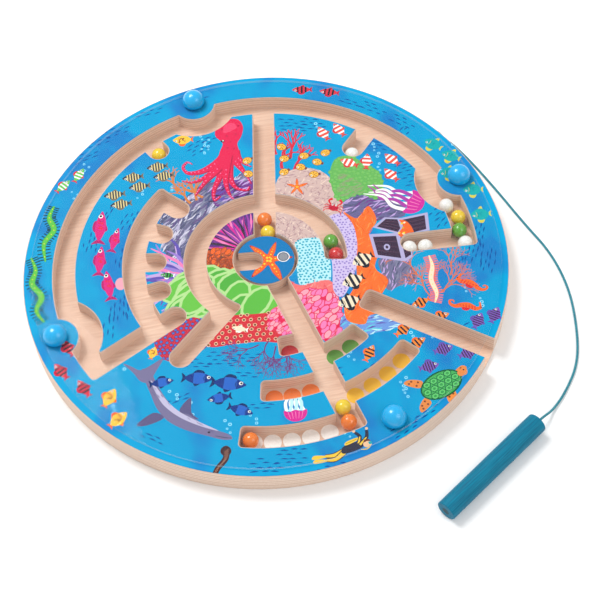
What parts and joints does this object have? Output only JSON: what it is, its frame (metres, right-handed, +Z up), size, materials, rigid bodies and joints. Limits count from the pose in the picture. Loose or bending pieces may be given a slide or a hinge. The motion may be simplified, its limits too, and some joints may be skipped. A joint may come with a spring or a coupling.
{
  "type": "magnetic wand ball maze",
  "caption": "Round wooden ball maze with a printed undersea top, clear cover, pegs, a turntable, coloured steel balls and a tethered magnet wand.",
  "frame": {"origin": "centre of the round board's underside, on the plane that it stands on", "axes": "+Z up through the cover; +X and +Y across the board, with -Y the side that the goal pockets are on and the wand's slot towards +X and -Y"},
  "size_m": [0.336, 0.3305, 0.026],
  "materials": {
    "plywood": "raw sanded plywood",
    "print": "printed sheet",
    "clear_cover": "clear polished",
    "peg_blue": "gloss",
    "magnet": "plated",
    "ball_white": "gloss paint",
    "ball_yellow": "gloss paint",
    "ball_green": "gloss paint",
    "ball_orange": "gloss paint",
    "ball_red": "gloss paint",
    "wand_wood": "stained wood",
    "cord": "braided cord",
    "cord_plug": "gloss"
  },
  "bodies": {
    "board": {"base_board": "plywood", "maze_board": "plywood", "print_sheet": "print", "cover": "clear_cover", "peg_1": "peg_blue", "peg_2": "peg_blue", "peg_3": "peg_blue", "peg_4": "peg_blue", "cord_anchor": "cord_plug", "cord": "cord"},
    "turntable": {"turntable": "plywood", "turntable_print": "print", "turntable_magnet": "magnet"},
    "wand": {"wand": "wand_wood", "wand_magnet": "magnet"},
    "ball_white_1": {"ball_white_1": "ball_white"},
    "ball_white_2": {"ball_white_2": "ball_white"},
    "ball_white_3": {"ball_white_3": "ball_white"},
    "ball_white_4": {"ball_white_4": "ball_white"},
    "ball_white_5": {"ball_white_5": "ball_white"},
    "ball_yellow_1": {"ball_yellow_1": "ball_yellow"},
    "ball_yellow_2": {"ball_yellow_2": "ball_yellow"},
    "ball_yellow_3": {"ball_yellow_3": "ball_yellow"},
    "ball_yellow_4": {"ball_yellow_4": "ball_yellow"},
    "ball_green_1": {"ball_green_1": "ball_green"},
    "ball_green_2": {"ball_green_2": "ball_green"},
    "ball_orange_1": {"ball_orange_1": "ball_orange"},
    "ball_orange_2": {"ball_orange_2": "ball_orange"},
    "ball_orange_3": {"ball_orange_3": "ball_orange"},
    "ball_red_1": {"ball_red_1": "ball_red"}
  },
  "joints": [
    {"name": "turntable_spin", "type": "hinge", "parent": "board", "child": "turntable", "pos_m": [0, 0, 0.01], "axis": [0, 0, 1], "continuous": true},
    {"name": "white_1_run", "type": "slide", "parent": "board", "child": "ball_white_1", "axis": [0.6101, 0.7923, 0], "range_m": [-0.0003, 0.0248]},
    {"name": "white_2_run", "type": "hinge", "parent": "board", "child": "ball_white_2", "pos_m": [0.12756, 0.04999, 0.01065], "axis": [0, 0, 1], "range_deg": [-94, 0.5]},
    {"name": "white_3_run", "type": "hinge", "parent": "board", "child": "ball_white_3", "pos_m": [0, 0, 0.01065], "axis": [0, 0, 1], "range_deg": [0, 0.4]},
    {"name": "white_4_run", "type": "slide", "parent": "board", "child": "ball_white_4", "axis": [0.9995, 0.0332, 0], "range_m": [-0.0002, 0.0004]},
    {"name": "white_5_run", "type": "slide", "parent": "board", "child": "ball_white_5", "axis": [0.9995, 0.0332, 0], "range_m": [-0.0004, 0.0155]},
    {"name": "yellow_1_run", "type": "hinge", "parent": "board", "child": "ball_yellow_1", "pos_m": [0, 0, 0.01065], "axis": [0, 0, 1], "range_deg": [-0.2, 0.9]},
    {"name": "yellow_2_run", "type": "slide", "parent": "board", "child": "ball_yellow_2", "axis": [-0.5635, 0.8261, 0], "range_m": [-0.0024, 0.0133]},
    {"name": "yellow_3_run", "type": "slide", "parent": "board", "child": "ball_yellow_3", "axis": [0.0576, 0.9983, 0], "range_m": [-0.0007, 0.0007]},
    {"name": "yellow_4_run", "type": "slide", "parent": "board", "child": "ball_yellow_4", "axis": [0.3338, -0.9426, 0], "range_m": [-0.0901, 0.0005]},
    {"name": "green_1_run", "type": "hinge", "parent": "board", "child": "ball_green_1", "pos_m": [0, 0, 0.01065], "axis": [0, 0, 1], "range_deg": [-0.4, 0.2]},
    {"name": "green_2_run", "type": "hinge", "parent": "board", "child": "ball_green_2", "pos_m": [0, 0, 0.01065], "axis": [0, 0, 1], "range_deg": [-1.1, 218.1]},
    {"name": "orange_1_run", "type": "slide", "parent": "board", "child": "ball_orange_1", "axis": [0.0576, 0.9983, 0], "range_m": [-0.0007, 0.0929]},
    {"name": "orange_2_run", "type": "slide", "parent": "board", "child": "ball_orange_2", "axis": [0.3338, -0.9426, 0], "range_m": [-0.0005, 0.0035]},
    {"name": "orange_3_run", "type": "hinge", "parent": "board", "child": "ball_orange_3", "pos_m": [0, 0, 0.01065], "axis": [0, 0, 1], "range_deg": [-0.4, 22.5]},
    {"name": "red_1_run", "type": "hinge", "parent": "board", "child": "ball_red_1", "pos_m": [0, 0, 0.01065], "axis": [0, 0, 1], "range_deg": [-2.4, 1.1]},
    {"name": "wand_swing", "type": "hinge", "parent": "board", "child": "wand", "pos_m": [0.1487, -0.1252, 0.00625], "axis": [0, 0, 1], "range_deg": [-20, 30]}
  ]
}
